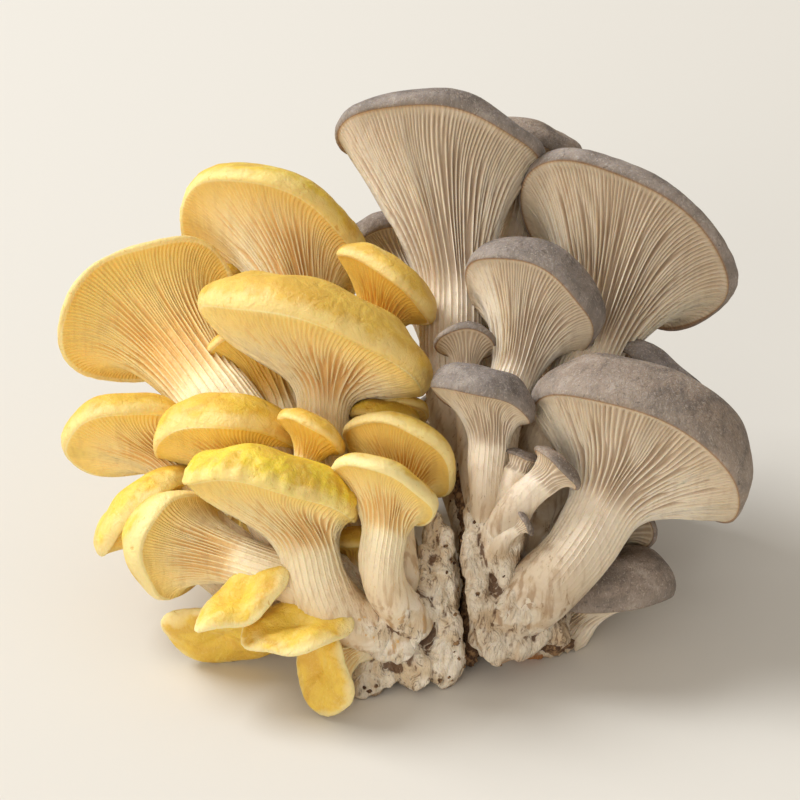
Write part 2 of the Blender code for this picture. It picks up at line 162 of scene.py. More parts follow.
GREY = {
    "top": Mushroom(
        (12, 28, -8), (0, 96, -24), (-4, 144.5, -36),
        11, 26, 29.5, 23, 11, (9, 10), 18, curl=-0.3, droop=1.5, flare=0.2
    ),
    "upper_right": Mushroom(
        (15, 24, -8), (36, 80, -14), (48.5, 117.5, -30),
        35, 42, 33, 25, 13, (8, 9.5), 18, wave=0.03, flare=0.27
    ),
    "middle": Mushroom(
        (12, 26, 0), (15, 76, 2), (20.3, 98.5, -6), 32, 38, 20.5, 17, 18, (6, 6.5), 16, flare=0.28
    ),
    "right": Mushroom(
        (11, 10, 0), (39, 39, 12), (50.8, 57.5, 8),
        28, 20, 32.5, 26, 23, (8.5, 10), 18, wave=0.03, curl=-0.22, droop=2.5, flare=0.3
    ),
    "bud": Mushroom((10, 28, -4), (3, 78, -2), (3, 88, -2), 5, 38, 8, 7, 5, (3.5, 3), 8),
    "front": Mushroom((11, 30, 2), (9, 58, 12), (6.8, 71, 14), 19, 15, 14, 11.5, 11, (4.5, 5.5), 12),
    "brown_bud": Mushroom((12, 32, 6), (22, 49, 20), (27.5, 53.5, 22), 44, 6, 7.5, 6, 4, (6, 4.5), 8),
    "bent_bud": Mushroom((10, 34, 4), (16.5, 52, 13), (18.5, 56.5, 13), 20, 5, 4.5, 4, 2.5, (5, 4), 6),
    "tiny": Mushroom((12, 28, 8), (16, 37, 18), (18.5, 39, 20), 60, 0, 3.6, 3.2, 2, (4.5, 2), 6),
    "low_right": Mushroom((17, 9, -6), (34, 9, -14), (44, 17.3, -10), -2, -20, 17, 11, 15, (7, 6), 12),
    "right_fold": Mushroom(
        (14, 16, -6), (43, 34, -14), (51, 38, -14), 80, 30, 8, 8, 3, (4.5, 4), 7, 0.08
    ),
    "right_back": Mushroom((16, 22, -12), (48, 63, -22), (59, 75.5, -22), 42, 5, 19, 13, 9, (6, 5.5), 12),
    "far_top": Mushroom((12, 28, -14), (19, 124, -50), (23.5, 145.5, -58), 20, 15, 14, 11, 9, (5, 4.5), 9),
    "far_left": Mushroom(
        (10, 28, -16), (-11, 104, -50), (-20, 119.5, -60), -20, 15, 12.5, 11, 8, (5, 4.5), 9
    ),
    "back_right": Mushroom((16, 18, -12), (33, 56, -50), (40, 69, -66), 40, 58, 21, 19, 8, (8, 7), 9),
    "back": Mushroom((12, 16, -16), (9, 50, -58), (9, 60, -76), 0, 68, 22, 19, 8, (8, 7), 10),
    "back_low": Mushroom((18, 10, -8), (38, 30, -42), (44, 34, -56), 70, 62, 15, 14, 6, (6, 5), 8),
}

# Lumps of each butt: middle in the fan frame and half sizes, in millimetres
GOLDEN_BUTT = (
    ((-13, 2, 4), (5.5, 9, 7)),
    ((-23, 0, 6), (4.5, 9.5, 6)),
    ((-3.2, 2, 3), (6, 9, 8)),
    ((-4.6, 20, 4), (6, 14, 8)),
    ((-15, 10, -12), (15, 17, 18)),
)
GREY_BUTT = (
    ((8.2, 34, 6), (6, 13, 8)),
    ((8.8, 15, 4), (5.6, 12, 9)),
    ((12.5, 7.5, 3), (8.5, 7.5, 9)),
    ((26, 8, -3), (7, 5, 8)),
    ((21, 16, -14), (14, 17, 18)),
)

# Each top, from 0 (lemon or cool grey) to 1 (ochre or warm grey), and how deep its flesh is coloured
TINTS = {
    "golden_top": (0.35, 0.1),
    "golden_left_fan": (0.85, 0.6),
    "golden_middle": (0.85, 0.1),
    "golden_upper_right": (0.85, 0.9),
    "golden_left_shelf": (0.7, 0.5),
    "golden_centre_left": (0.55, 0.8),
    "golden_between": (1.0, 1.0),
    "golden_bud_left": (0.6, 0.9),
    "golden_centre": (0.8, 0.9),
    "golden_lower_left": (0.35, 0.6),
    "golden_left_cup": (0.4, 0.3),
    "golden_front": (0.0, 0.3),
    "golden_front_right": (0.6, 0.5),
    "golden_right": (0.5, 0.7),
    "golden_spoon": (0.5, 0.3),
    "golden_low_left": (0.6, 0.4),
    "golden_low_front": (0.6, 0.4),
    "golden_twisted": (0.5, 0.4),
    "golden_inner": (0.8, 1.0),
    "grey_top": (0.3, 0.1),
    "grey_upper_right": (0.4, 0.4),
    "grey_middle": (0.3, 0.3),
    "grey_right": (0.9, 0.3),
    "grey_bud": (0.5, 0.6),
    "grey_front": (0.1, 0.4),
    "grey_brown_bud": (1.0, 0.6),
    "grey_far_top": (1.0, 0.6),
    "grey_low_right": (0.6, 0.4),
    "grey_right_back": (0.1, 0.6),
}

# How far a cream colour reaches in from the margin of some caps
CREAM_MARGINS = {
    "golden_spoon": 1.0,
    "golden_low_left": 0.9,
    "golden_low_front": 0.9,
    "golden_twisted": 1.0,
    "golden_left_cup": 0.6,
    "golden_lower_left": 0.5,
    "golden_front_right": 0.8,
    "golden_right": 0.5,
    "golden_left_fan": 0.5,
}

# Knobs of the butts that only show here: middle in the fan frame and half sizes, in millimetres
KNOBS = {
    "golden": (
        ((-17, 8, 10), (3.5, 5, 4)),
        ((-10, -2, 8), (3.5, 5, 4)),
        ((-19, -3, 8), (3, 4.5, 3)),
        ((-1.5, 10, 7), (3.5, 7, 4)),
        ((-8, 24, 8), (3, 9, 4)),
        ((-3, 30, 7), (2.5, 8, 4)),
        ((-6, 37, 5), (3, 5, 3)),
        ((-26, -6, 8), (3, 5, 3)),
    ),
    "grey": (
        ((5, 30, 10), (3, 8, 4)),
        ((10, 38, 11), (3, 7, 3)),
        ((13, 27, 11), (3, 6, 4)),
        ((6, 18, 10), (3, 8, 4)),
        ((11, 4, 9), (4, 5, 4)),
        ((18, 4, 6), (5, 4, 4)),
        ((23, 7, 3), (5, 4, 4)),
        ((29, 7, 0), (4, 3, 4)),
        ((8, 10, 10), (3, 5, 3)),
    ),
}

# The growing medium in the crevice, as lumps like the butts
MEDIUM = (
    ((4.5, 12, -3), (2.8, 14, 7)),
    ((4, 30, -3), (2.6, 14, 7)),
    ((3, 46, -6), (2.6, 12, 7)),
    ((7, 33, 8), (3.5, 8, 5)),
    ((27, 5, -3), (6, 3, 6)),
)

# How deep the tops near the margin are puckered, in millimetres
PUCKERED = {"golden_front": 0.3, "golden_lower_left": 0.2, "golden_top": 0.12}
PUCKERED_ELSEWHERE = 0.05


def is_large(m, name):
    """Whether a mushroom shows well enough to get the finest mesh."""
    return m.wide > LARGE_CAP and "back" not in name


def add_object(name, data):
    """A new object with this data, in the scene."""
    obj = bpy.data.objects.new(name, data)
    bpy.context.scene.collection.objects.link(obj)
    return obj


def unit(v):
    return v / np.linalg.norm(v, axis=-1, keepdims=True)


def smooth_step(x):
    x = np.clip(x, 0, 1)
    return x * x * (3 - 2 * x)


def bezier(a, b, c, d, t):
    """Points of a cubic at t. The four corners broadcast against t's trailing axis."""
    t = np.asarray(t)[..., None]
    return (1 - t) ** 3 * a + 3 * t * (1 - t) ** 2 * b + 3 * t * t * (1 - t) * c + t**3 * d


def cap_axes(m):
    """(left, near, up): the rim's two half axes and the way the cap's top faces."""
    turn, away = math.radians(m.turn), math.radians(m.away)
    up = np.array([math.sin(turn) * math.cos(away), math.cos(turn) * math.cos(away), -math.sin(away)])
    left = unit(np.cross((0, 0, 1), up))
    return left, np.cross(up, left), up


def neck_way(m):
    """The way the stem points where the gills begin: between the cap's axis and the way to the rim."""
    up = cap_axes(m)[2]
    return unit(unit(np.subtract(m.rim, m.neck)) + up)


def ring_axes(m, way):
    """Two axes square to way that follow the cap's own, so that columns don't twist."""
    left = cap_axes(m)[0]
    first = unit(left - np.sum(left * way, axis=-1, keepdims=True) * way)
    return first, np.cross(way, first)


def rim_points(m, name, angles):
    """The rim, where the gills end: an ellipse with seeded waves and drooping sides."""
    left, near, up = cap_axes(m)
    draw = random.Random(name)
    radius, lift = np.ones_like(angles), np.zeros_like(angles)
    for lobes in (2, 3, 5):
        phase = draw.uniform(0, 2 * math.pi)
        radius = radius + m.wave * np.cos(lobes * angles + phase) / math.sqrt(lobes)
        lift = lift + m.wave * m.wide * 0.9 * np.cos(lobes * angles + 2 * phase) / math.sqrt(lobes)
    lift = lift - m.droop * np.cos(2 * angles)
    flat = m.wide * np.cos(angles)[:, None] * left + m.deep * np.sin(angles)[:, None] * near
    return np.array(m.rim) + flat * radius[:, None] + up * lift[:, None]


def stem_rows(m, steps, angles):
    """Rings round the stem's own line, from the foot to the neck."""
    foot, neck, way = np.array(m.foot, float), np.array(m.neck, float), neck_way(m)
    reach = np.linalg.norm(neck - foot)
    pull = neck - way * reach * 0.42
    steps = np.asarray(steps, float)
    middle = bezier(foot, foot + (pull - foot) * 0.5, pull, neck, steps)
    ahead = bezier(foot, foot + (pull - foot) * 0.5, pull, neck, steps + 0.01)
    first, second = ring_axes(m, unit(ahead - middle))
    radius = m.thick[0] + (m.thick[1] - m.thick[0]) * smooth_step(steps)
    ring = np.cos(angles)[:, None] * first[:, None] + np.sin(angles)[:, None] * second[:, None]
    return middle[:, None] + ring * radius[:, None, None]


def under_rows(m, name, steps, angles):
    """The underside: trumpet curves from the neck to the rim, whose margin turns down."""
    up = cap_axes(m)[2]
    start, rim = stem_rows(m, [1.0], angles)[0], rim_points(m, name, angles)
    reach = np.linalg.norm(rim - start, axis=1, keepdims=True)
    outward = unit(rim - np.array(m.rim))
    leave = start + neck_way(m) * reach * 0.34
    arrive = rim + up * reach * m.curl - outward * reach * m.flare
    return bezier(start, leave, arrive, rim, np.asarray(steps)[:, None])


def roll_of(m):
    """How far the margin rolls out past the rim, in millimetres."""
    return 0.03 * m.wide + 0.6


def top_rows(m, name, steps, angles):
    """From the rim round the rolled margin and over the crown. 0 is just past the rim, 1 the navel."""
    up = cap_axes(m)[2]
    rim, middle = rim_points(m, name, angles), np.array(m.rim)
    outward = unit(rim - middle)
    roll = roll_of(m)
    edge = rim + outward * roll + up * 0.2 * m.crown
    shoulder = rim + outward * roll * 0.3 + up * 0.72 * m.crown
    brow = middle + (rim - middle) * 0.55 + up * 1.2 * m.crown
    navel = middle + up * m.navel * m.crown
    return bezier(edge, shoulder, brow, navel, np.asarray(steps)[:, None])


def to_world(points):
    """Fan frame in millimetres to the part's frame in metres."""
    across, up, out = np.moveaxis(np.asarray(points, float), -1, 0)
    lean, rise = math.sin(FAN_LEAN), math.cos(FAN_LEAN)
    x = across - FLAT_SPOT[0]
    y = up * lean - out * rise - FLAT_SPOT[1]
    z = up * rise + out * lean + FAN_LIFT
    return np.stack([x, y, z], axis=-1) * MM


def lip_rows(m, name, steps, angles):
    """The rounded lip between the gills' end and the top."""
    up = cap_axes(m)[2]
    rim = rim_points(m, name, angles)
    outward = unit(rim - np.array(m.rim))
    roll = roll_of(m)
    edge = top_rows(m, name, [0.0], angles)[0]
    under = rim + outward * roll * 0.6 - up * roll * 0.3
    side = edge - up * 0.12 * m.crown + outward * roll * 0.05
    return bezier(rim, under, side, edge, np.asarray(steps)[:, None])


def outward_of(rows):
    """Unit normals of a grid of rows round a mushroom, pointing out of the flesh."""
    ahead = np.gradient(rows, axis=0)
    beside = np.roll(rows, -1, axis=1) - np.roll(rows, 1, axis=1)
    return unit(np.cross(beside, ahead))


def ripples(name, a, b, waves, reach):
    """Smooth seeded variation between about -1 and 1 over two coordinates, a being an angle."""
    draw = random.Random(name)
    total = np.zeros(np.broadcast(a, b).shape)
    for _ in range(waves):
        around = draw.randint(-reach, reach)
        total = total + np.sin(around * a + draw.uniform(2, 9) * b + draw.uniform(0, 2 * math.pi))
    return total / math.sqrt(waves)


def gill_edges(m, name, steps, angles, shortest):
    """1 on a gill's edge, 0 between two. Between whole gills stand short ones, and the shortest.

    Each tier has its share of gills for each whole one, its shift from them, and where they start.
    """
    draw = random.Random(name + "_gills")
    steps = np.asarray(steps)[:, None]
    whole = m.gills * GILLS_PER_CAD_GILL
    uneven = ripples(name + "_uneven", angles[None, :], 0.25 * steps, 6, whole // 3)
    turn = whole * angles[None, :] / (2 * math.pi) + 0.17 * uneven
    edges = np.zeros(turn.shape)
    tiers = [(1, 0.0, (-1, -0.9)), (1, 0.5, (0.1, 0.45))]
    if shortest:
        tiers.append((2, 0.5, (0.4, 0.75)))
    for share, shift, starts in tiers:
        phase = turn * share + shift
        nearest = np.round(phase).astype(int) % (whole * share)
        start = np.array([draw.uniform(*starts) for _ in range(whole * share)])[nearest]
        height = np.array([draw.uniform(0.75, 1.0) for _ in range(whole * share)])[nearest]
        away = np.abs(phase - np.round(phase)) / share
        ridge = np.exp(-((away / GILL_HALF_WIDTH) ** 2))
        edges = np.maximum(edges, height * ridge * smooth_step((steps - start) / 0.2))
    return edges


def gill_depth(m, along, fade):
    """How deep the gills stand at a place along the stem (0 to 1) and the underside (1 to 2)."""
    ridge = RIDGE_DEPTH[m.wide <= LARGE_CAP]
    down_stem = ridge * smooth_step((along - GILLS_DOWN_STEM) / (1 - GILLS_DOWN_STEM))
    spread = 0.68 * smooth_step((along - 1) / 0.3)
    outer = 1 - fade * smooth_step((along - 1.45) / 0.5)
    return GILL_DEPTH * m.wide * (down_stem + spread) * outer * smooth_step((2 - along) / 0.05)


def lower_side(m, name, stem_steps, under_steps, columns, shortest):
    """Stem and underside as one grid, with how far along and how deep between gills each point is."""
    angles = np.arange(columns) * (2 * math.pi / columns)
    along = np.concatenate([stem_steps, 1 + under_steps[1:]])
    rows = np.concatenate(
        [stem_rows(m, stem_steps, angles), under_rows(m, name, under_steps[1:], angles)]
    )
    outside = outward_of(rows)
    edges = gill_edges(m, name, along - 1, angles, shortest)
    depth = gill_depth(m, along, GOLDEN_GILLS_FADE if name.startswith("golden") else 0)
    wander = ripples(name + "_wander", angles[None, :], along[:, None], 5, 7)
    around = np.roll(rows, -1, axis=1) - rows
    swell = ripples(name + "_swell", angles[None, :], along[:, None] * 1.5, 6, 3)
    on_stem = 1 - smooth_step((along - 0.6) / 0.6)
    rows = rows - outside * ((1 - edges) * depth[:, None])[..., None]
    rows = rows + outside * (swell * (0.12 + 0.05 * m.thick[1] * on_stem[:, None]))[..., None]
    rows = rows + around * (1.6 * wander * smooth_step((2 - along) / 0.5)[:, None])[..., None]
    groove = (1 - edges) * (depth / (GILL_DEPTH * m.wide))[:, None]
    return rows, np.broadcast_to(along[:, None], groove.shape), groove


def upper_side(m, name, lip_steps, top_steps, columns):
    """Lip and top as one grid, with how far along each point is."""
    angles = np.arange(columns) * 2 * math.pi / columns
    rows = np.concatenate([lip_rows(m, name, lip_steps, angles), top_rows(m, name, top_steps, angles)])
    along = np.concatenate([2 + 0.1 * lip_steps, 2.1 + 0.9 * top_steps])
    outside = outward_of(rows)
    far = along[:, None] - 2
    swell = ripples(name + "_top", angles[None, :], 2 * far, 8, 5)
    fade = 1 - smooth_step((far - 0.55) / 0.4)
    folds = np.sin(23 * angles[None, :] + 2 * swell) + np.sin(37 * angles[None, :] - 3 * swell)
    pucker = folds * PUCKERED.get(name, PUCKERED_ELSEWHERE)
    pucker = pucker * smooth_step(far / 0.08) * (1 - smooth_step((far - 0.15) / 0.35))
    rows = rows + outside * ((swell * 0.016 * m.wide + pucker) * fade)[..., None]
    return rows, np.broadcast_to(along[:, None], swell.shape), np.zeros(swell.shape)


def bridge(low, high):
    """Faces between two rings of vertex indices, alike in count or with one having twice the other's."""
    few, many = sorted((low, high), key=len)
    if len(few) == len(many):
        return list(zip(low, np.roll(low, -1), np.roll(high, -1), high))
    first, second, third = many[0::2], many[1::2], np.roll(many, -2)[0::2]
    after = np.roll(few, -1)
    fans = [*zip(few, second, first), *zip(few, after, second), *zip(after, third, second)]
    return fans if few is low else [f[::-1] for f in fans]


def stacked(below, above, halved):
    """Both grids as rings of vertex indices, with the points and what the materials need of each.

    The first rings of below and all but the first of above take every second column. Index 0 is
    left free for the foot.
    """
    rings, along, groove, points = [], [0], [0], []
    for grid in (below, above):
        for i, row in enumerate(grid[0]):
            step = 2 if grid is below and i < halved or grid is above and i > 0 else 1
            rings.append(len(along) + np.arange(len(row[::step])))
            points.append(row[::step])
            along.extend(grid[1][i][::step])
            groove.extend(grid[2][i][::step])
    return rings, along, groove, points


def sides_of(m, name):
    """The lower and the upper side of a mushroom, and how many of the lower one's rings are halved."""
    large = is_large(m, name)
    columns = m.gills * GILLS_PER_CAD_GILL * COLUMNS_PER_GILL[not large]
    foot_steps = np.linspace(0, GILLS_DOWN_STEM, 6)
    stem_steps = np.concatenate([foot_steps, np.linspace(GILLS_DOWN_STEM, 1, 5)[1:]])
    under_steps = np.linspace(0, 1, UNDER_ROWS[not large]) ** 0.92
    lip_steps = np.linspace(0, 1, 5)[1:-1]
    top_steps = np.linspace(0, 0.97, TOP_ROWS[not large])
    below = lower_side(m, name, stem_steps, under_steps, columns, large)
    above = upper_side(m, name, lip_steps, top_steps, columns // 2)
    return below, above, len(foot_steps) - 1


def mushroom_object(m, name):
    """One mushroom: flesh (stem and gills) in the first material slot, the cap's top in the second."""
    below, above, halved = sides_of(m, name)
    rings, along, groove, points = stacked(below, above, halved)
    last = len(along)
    along.append(3)
    groove.append(0)
    faces = [(0, b, a) for a, b in zip(rings[0], np.roll(rings[0], -1))]
    rim = len(below[0]) - 1
    for a, b in zip(rings[:rim], rings[1 : rim + 1]):
        faces += bridge(a, b)
    flesh_faces = len(faces)
    for a, b in zip(rings[rim:-1], rings[rim + 1 :]):
        faces += bridge(a, b)
    faces += [(last, a, b) for a, b in zip(rings[-1], np.roll(rings[-1], -1))]
    crown = np.array(m.rim) + cap_axes(m)[2] * m.navel * m.crown
    placed = to_world(np.concatenate([[np.array(m.foot, float)], *points, [crown]]))
    placed[:, 2] = np.maximum(placed[:, 2], LOWEST)
    mesh = bpy.data.meshes.new(name)
    mesh.from_pydata(placed.tolist(), [], [tuple(int(i) for i in f) for f in faces])
    mesh.shade_smooth()
    slots = np.zeros(len(faces), dtype=np.int32)
    slots[flesh_faces:] = 1
    mesh.polygons.foreach_set("material_index", slots)
    tint, blush = TINTS.get(name, (0.5, 0.3))
    store(mesh, "along", along)
    store(mesh, "groove", groove)
    store(mesh, "tint", np.full(len(along), tint))
    store(mesh, "blush", np.full(len(along), blush))
    store(mesh, "cream", np.full(len(along), CREAM_MARGINS.get(name, 0)))
    return add_object(name, mesh)


def store(mesh, name, values):
    """Keeps one number a vertex, for the materials."""
    layer = mesh.attributes.new(name, "FLOAT", "POINT")
    layer.data.foreach_set("value", np.asarray(values, dtype=np.float32))


def sleeve(bm, m):
    """The stem's foot, a little fuller than the stem at first and inside it higher up."""
    angles = np.arange(SLEEVE_SIDES) * 2 * math.pi / SLEEVE_SIDES
    steps = np.linspace(0, SLEEVE_END, SLEEVE_RINGS)
    rows = stem_rows(m, steps, angles)
    middle = rows.mean(axis=1, keepdims=True)
    swell = np.linspace(*SLEEVE_SWELL, SLEEVE_RINGS)[:, None, None]
    points = to_world(middle + (rows - middle) * swell)
    rings = [[bm.verts.new(p) for p in row] for row in points]
    for low, high in zip(rings, rings[1:]):
        for i in range(SLEEVE_SIDES):
            j = (i + 1) % SLEEVE_SIDES
            bm.faces.new((low[i], low[j], high[j], high[i]))
    bm.faces.new(rings[0][::-1])
    bm.faces.new(rings[-1])


def butt_object(name, lumps, mushrooms):
    """The rough skin of a butt: its lumps and the feet of its stems, melted into one surface."""

    def fill(bm):
        add_lumps(bm, lumps)
        for m in mushrooms.values():
            sleeve(bm, m)

    obj = melted(name, fill)
    roughen(obj.data)
    obj.data.shade_smooth()
    return obj


def hollowness(mesh, rounds):
    """How far each point lies in a hollow, in millimetres: its way out to the smoothed surface."""
    edges = np.empty(len(mesh.edges) * 2, dtype=np.int32)
    mesh.edges.foreach_get("vertices", edges)
    a, b = edges.reshape(-1, 2).T
    place, normal = np.empty(len(mesh.vertices) * 3), np.empty(len(mesh.vertices) * 3)
    mesh.vertices.foreach_get("co", place)
    mesh.vertices.foreach_get("normal", normal)
    place, normal = place.reshape(-1, 3), normal.reshape(-1, 3)
    count = np.bincount(a, minlength=len(place)) + np.bincount(b, minlength=len(place))
    even = place.copy()
    for _ in range(rounds):
        total = [
            np.bincount(a, even[b, i], len(place)) + np.bincount(b, even[a, i], len(place))
            for i in range(3)
        ]
        even = np.stack(total, axis=1) / count[:, None]
    return np.sum((even - place) * normal, axis=1) / MM


def roughen(mesh):
    """Bumps and fibres over a butt, and how brown each point is: most in its hollows, partly staining and
    partly painted shade.
    """
    lean = Matrix.Rotation(FAN_LEAN, 3, "X")
    normals = [v.normal.copy() for v in mesh.vertices]
    for v, normal in zip(mesh.vertices, normals):
        p = lean @ v.co / MM
        along_stems = Vector((p.x, p.y, p.z * 0.25))
        bumps = 0.9 * noise.noise(p * 0.16) + 0.4 * noise.fractal(p * 0.5, 0.9, 2.1, 3)
        folds = 1.4 * noise.noise(along_stems * 0.26) + 0.6 * noise.noise(along_stems * 0.6)
        v.co += normal * MM * (bumps + folds)
        v.co.z = max(v.co.z, LOWEST)
    fine, broad = hollowness(mesh, 12), hollowness(mesh, 50)
    # The hollows' brown is partly staining and partly painted shade, deepest where the surface is most
    # hollow.
    store(mesh, "stain", smooth_step(fine / 0.55) * 0.6 + smooth_step(broad / 1.6) * 0.6)


def melted(name, fill):
    """One closed surface round everything that fill puts into the mesh."""
    bm = bmesh.new()
    fill(bm)
    mesh = bpy.data.meshes.new(name)
    bm.to_mesh(mesh)
    bm.free()
    obj = add_object(name, mesh)
    remesh = obj.modifiers.new("melt", "REMESH")
    remesh.mode, remesh.voxel_size = "VOXEL", BUTT_VOXEL
    smooth = obj.modifiers.new("soften", "SMOOTH")
    smooth.factor, smooth.iterations = 0.5, 8
    graph = bpy.context.evaluated_depsgraph_get()
    obj.data = bpy.data.meshes.new_from_object(obj.evaluated_get(graph))
    obj.modifiers.clear()
    return obj


def add_lumps(bm, lumps):
    """Ellipsoids, each with its middle in the fan frame and its half sizes, in millimetres."""
    for middle, half in lumps:
        made = bmesh.ops.create_icosphere(bm, subdivisions=4, radius=1)
        for v in made["verts"]:
            v.co = to_world(np.array(middle) + np.array([v.co[i] * half[i] for i in range(3)]))


def medium_object():
    """What is left of the growing medium: a brown, fuzzy mass deep in the crevice."""
    obj = melted("growing_medium", lambda bm: add_lumps(bm, MEDIUM))
    normals = [v.normal.copy() for v in obj.data.vertices]
    for v, normal in zip(obj.data.vertices, normals):
        p = v.co / MM
        v.co += normal * MM * (1.1 * noise.noise(p * 0.3) + 0.9 * noise.fractal(p * 0.9, 0.8, 2.1, 3))
        v.co.z = max(v.co.z, LOWEST)
    obj.data.shade_smooth()
    return obj


def crumbs_object(name, skin, inside, count, size):
    """Crumbs of the growing medium that cling to a butt, at seeded places of its skin."""
    draw = random.Random(name)
    spots = [v for v in skin.data.vertices if inside(v)]
    bm = bmesh.new()
    for _ in range(count):
        spot = draw.choice(spots)
        made = bmesh.ops.create_icosphere(bm, subdivisions=2, radius=1)
        half = [draw.uniform(*size) * MM for _ in range(3)]
        turn = Matrix.Rotation(draw.uniform(0, 6), 3, "Z") @ Matrix.Rotation(draw.uniform(0, 3), 3, "X")
        for v in made["verts"]:
            bump = 1 + 0.6 * noise.noise(v.co * 1.7 + spot.co * 400)
            v.co = spot.co + turn @ Vector([v.co[i] * half[i] * bump for i in range(3)])
            v.co.z = max(v.co.z, LOWEST)
    mesh = bpy.data.meshes.new(name)
    bm.to_mesh(mesh)
    bm.free()
    mesh.shade_smooth()
    return add_object(name, mesh)


def srgb(red, green, blue):
    """A colour seen on screen, 0 to 255, as the renderer's linear values."""
    return (*(((c / 255 + 0.055) / 1.055) ** 2.4 for c in (red, green, blue)), 1)


class Recipe:
    """A material's nodes, with short calls for the ones that the recipes below use."""

    def __init__(self, name, roughness, subsurface, bleed):
        self.material = bpy.data.materials.new(name)
        self.material.use_nodes = True
        self.nodes = self.material.node_tree.nodes
        self.links = self.material.node_tree.links
        self.shader = self.nodes["Principled BSDF"]
        self.shader.inputs["Roughness"].default_value = roughness
        self.shader.inputs["Subsurface Weight"].default_value = subsurface
        self.shader.inputs["Subsurface Radius"].default_value = bleed
        self.shader.inputs["Subsurface Scale"].default_value = MM
        self.place = self.node("ShaderNodeTexCoord").outputs["Object"]

    def node(self, kind, **values):
        made = self.nodes.new(kind)
        for key, value in values.items():
            setattr(made, key, value)
        return made

    def set(self, socket, value):
        """Links an output to the socket, or gives it a plain value."""
        if isinstance(value, bpy.types.NodeSocket):
            self.links.new(value, socket)
        else:
            socket.default_value = value

    def kept(self, name):
        """A number that store() put on the mesh."""
        return self.node("ShaderNodeAttribute", attribute_name=name).outputs["Fac"]

    def noise(self, per_mm, detail=3.0, stretch=None, distortion=0.0):
        """Noise with so many bumps a millimetre, over the object or over stretched coordinates."""
        made = self.node("ShaderNodeTexNoise")
        made.inputs["Scale"].default_value = per_mm / MM
        made.inputs["Detail"].default_value = detail
        made.inputs["Distortion"].default_value = distortion
        place = self.place
        if stretch:
            mapping = self.node("ShaderNodeMapping")
            mapping.inputs["Scale"].default_value = stretch
            mapping.inputs["Rotation"].default_value = (-FAN_LEAN, 0, 0)
            self.links.new(place, mapping.inputs["Vector"])
            place = mapping.outputs["Vector"]
        self.links.new(place, made.inputs["Vector"])
        return made.outputs["Fac"]

    def patches(self):
        """The stains that a butt and the feet of its stems share."""
        return self.noise(0.14, 5, distortion=0.8)

    def span(self, value, low, high, start=0.0, end=1.0):
        """value from low to high becomes start to end, smoothly and clamped."""
        made = self.node("ShaderNodeMapRange", interpolation_type="SMOOTHSTEP")
        sockets = ("Value", "From Min", "From Max", "To Min", "To Max")
        for socket, v in zip(sockets, (value, low, high, start, end)):
            self.set(made.inputs[socket], v)
        return made.outputs["Result"]

    def product(self, a, b):
        made = self.node("ShaderNodeMath", operation="MULTIPLY", use_clamp=True)
        self.set(made.inputs[0], a)
        self.set(made.inputs[1], b)
        return made.outputs["Value"]

    def mix(self, factor, a, b):
        """a where factor is 0, b where it is 1."""
        made = self.node("ShaderNodeMix", data_type="RGBA")
        self.set(made.inputs["Factor"], factor)
        self.set(made.inputs["A"], a)
        self.set(made.inputs["B"], b)
        return made.outputs["Result"]

    def bump(self, height, depth_mm, under=None):
        """A bump of a height map, over another bump if one is given."""
        made = self.node("ShaderNodeBump")
        made.inputs["Distance"].default_value = depth_mm * MM
        self.set(made.inputs["Height"], height)
        if under:
            self.links.new(under, made.inputs["Normal"])
        return made.outputs["Normal"]

    def done(self, colour, normal):
        self.set(self.shader.inputs["Base Color"], colour)
        self.set(self.shader.inputs["Normal"], normal)
        return self.material


def cap_material(name, cool, warm, pale, dark, edge, felt, margin, roughness):
    """A cap's top: its tint, cloudy patches, a pale margin, fine fibres and a few specks."""
    r = Recipe(name, roughness, 0.25, (1.6, 0.9, 0.35))
    along, tint, cream = r.kept("along"), r.kept("tint"), r.kept("cream")
    clouds = r.noise(0.11, 5, distortion=0.8)
    fibres = r.noise(1.5, 5, distortion=1.2, stretch=(1, 1, 0.5))
    colour = r.mix(tint, cool, warm)
    colour = r.mix(r.span(clouds, 0.44, 0.66, 0.0, 0.65), colour, dark)
    colour = r.mix(r.span(clouds, 0.44, 0.3, 0.0, 0.35), colour, pale)
    colour = r.mix(r.span(fibres, 0.5, 0.75, 0.0, felt), colour, dark)
    colour = r.mix(r.span(fibres, 0.48, 0.28, 0.0, felt), colour, pale)
    reach = r.span(r.noise(0.2, 4), 0.3, 0.7, 2.12, 2.3)
    colour = r.mix(r.span(along, reach, 2.05, 0.0, margin), colour, pale)
    wide_reach = r.span(r.noise(0.16, 4), 0.3, 0.7, 2.2, 2.75)
    colour = r.mix(r.product(cream, r.span(along, wide_reach, 2.1)), colour, edge)
    specks = r.product(r.span(r.noise(0.5, 4, distortion=1), 0.64, 0.72), r.span(along, 2.6, 2.1))
    colour = r.mix(r.product(specks, 0.6), colour, dark)
    colour = r.mix(r.span(along, 2.03, 2.005, 0.0, 0.8), colour, edge)
    creases = r.bump(r.noise(0.3, 5, distortion=0.6), 0.8)
    return r.done(colour, r.bump(fibres, 0.1 + 0.3 * felt, creases))


